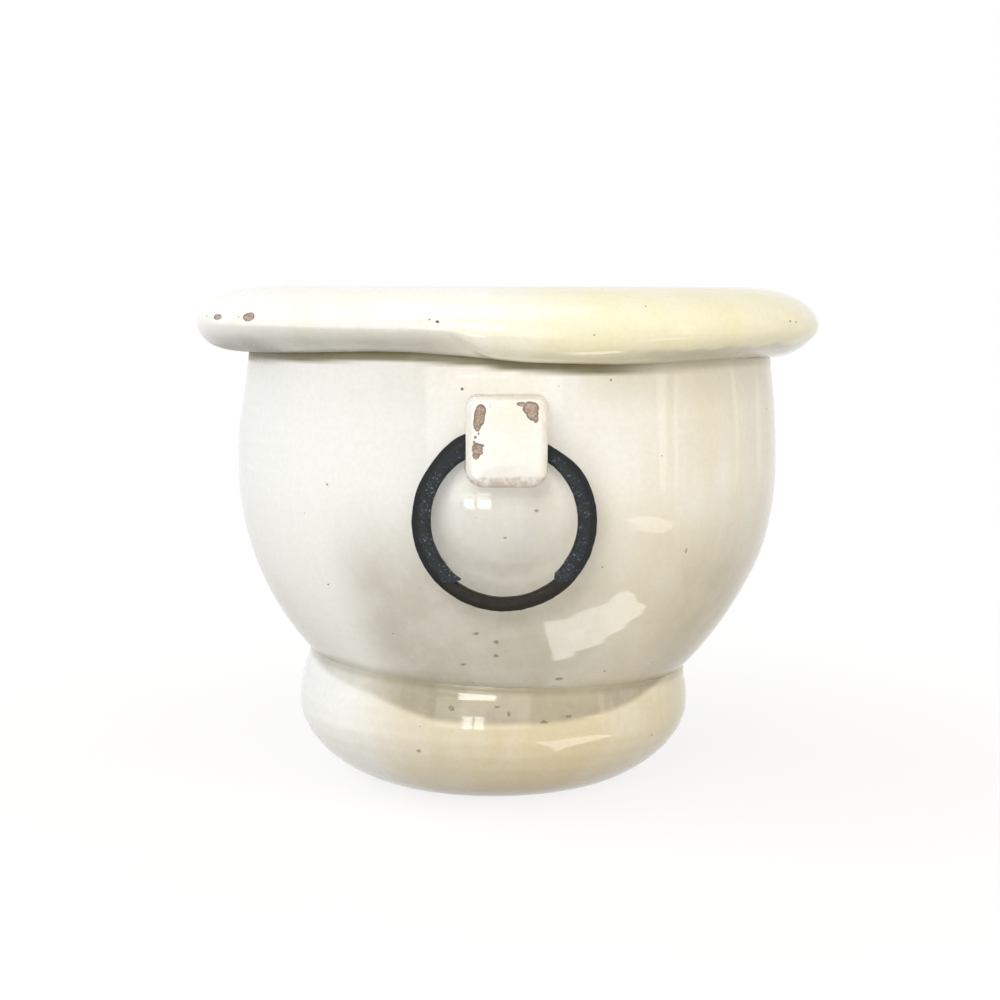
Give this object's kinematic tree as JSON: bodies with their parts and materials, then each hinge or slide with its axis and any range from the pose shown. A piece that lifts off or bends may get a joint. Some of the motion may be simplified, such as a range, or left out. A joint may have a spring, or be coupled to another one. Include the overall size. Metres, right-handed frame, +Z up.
{
  "type": "cachepot with ring handles",
  "caption": "Round glazed ceramic cachepot with a fat rolled rim, a bun-shaped foot, and forged iron ring handles that swing in pillow-shaped lugs.",
  "frame": {"origin": "on the floor, on the axis of the bowl", "axes": "+Z up along the bowl's axis, -Y towards the front ring handle, +X to the right when seen from the front"},
  "size_m": [0.32, 0.3274, 0.2548],
  "materials": {
    "glaze": "glossy ivory-white glaze, uneven and worn to bare clay at a few edges",
    "iron": "forged, with a dark scaly patina"
  },
  "bodies": {
    "pot": {"bowl": "glaze", "rim": "glaze", "foot_ring": "glaze", "front_lug": "glaze", "back_lug": "glaze"},
    "front_ring": {"front_ring_bow": "iron", "front_ring_link": "iron"},
    "back_ring": {"back_ring_bow": "iron", "back_ring_link": "iron"}
  },
  "joints": [
    {"name": "front_ring_swing", "type": "hinge", "parent": "pot", "child": "front_ring", "pos_m": [0, -0.14972, 0.18414], "axis": [-1, 0, 0], "range_deg": [-11, 165]},
    {"name": "back_ring_swing", "type": "hinge", "parent": "pot", "child": "back_ring", "pos_m": [0, 0.14972, 0.18414], "axis": [1, 0, 0], "range_deg": [-11, 165]}
  ]
}
